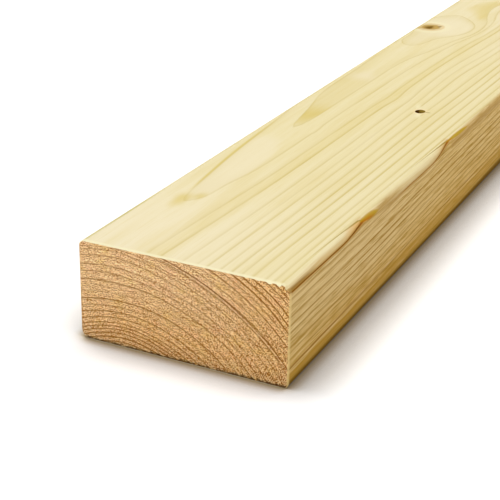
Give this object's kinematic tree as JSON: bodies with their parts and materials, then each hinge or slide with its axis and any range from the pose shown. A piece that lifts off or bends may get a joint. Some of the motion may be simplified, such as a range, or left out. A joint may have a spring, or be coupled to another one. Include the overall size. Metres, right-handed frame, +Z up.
{
  "type": "timber plank",
  "caption": "Straight length of regularised softwood, rectangular in section with eased long arrises and square-sawn ends.",
  "frame": {"origin": "middle of the underside: half way along the length and half way across the width", "axes": "+X runs along the length, away from the front end; +Y across the width, to the left as seen from the front end; +Z up through the thickness"},
  "size_m": [2.4, 0.1, 0.047],
  "materials": {
    "softwood": "planed, unfinished pale softwood with visible growth rings; ends left from the saw"
  },
  "bodies": {
    "root": {"plank": "softwood"}
  },
  "joints": []
}
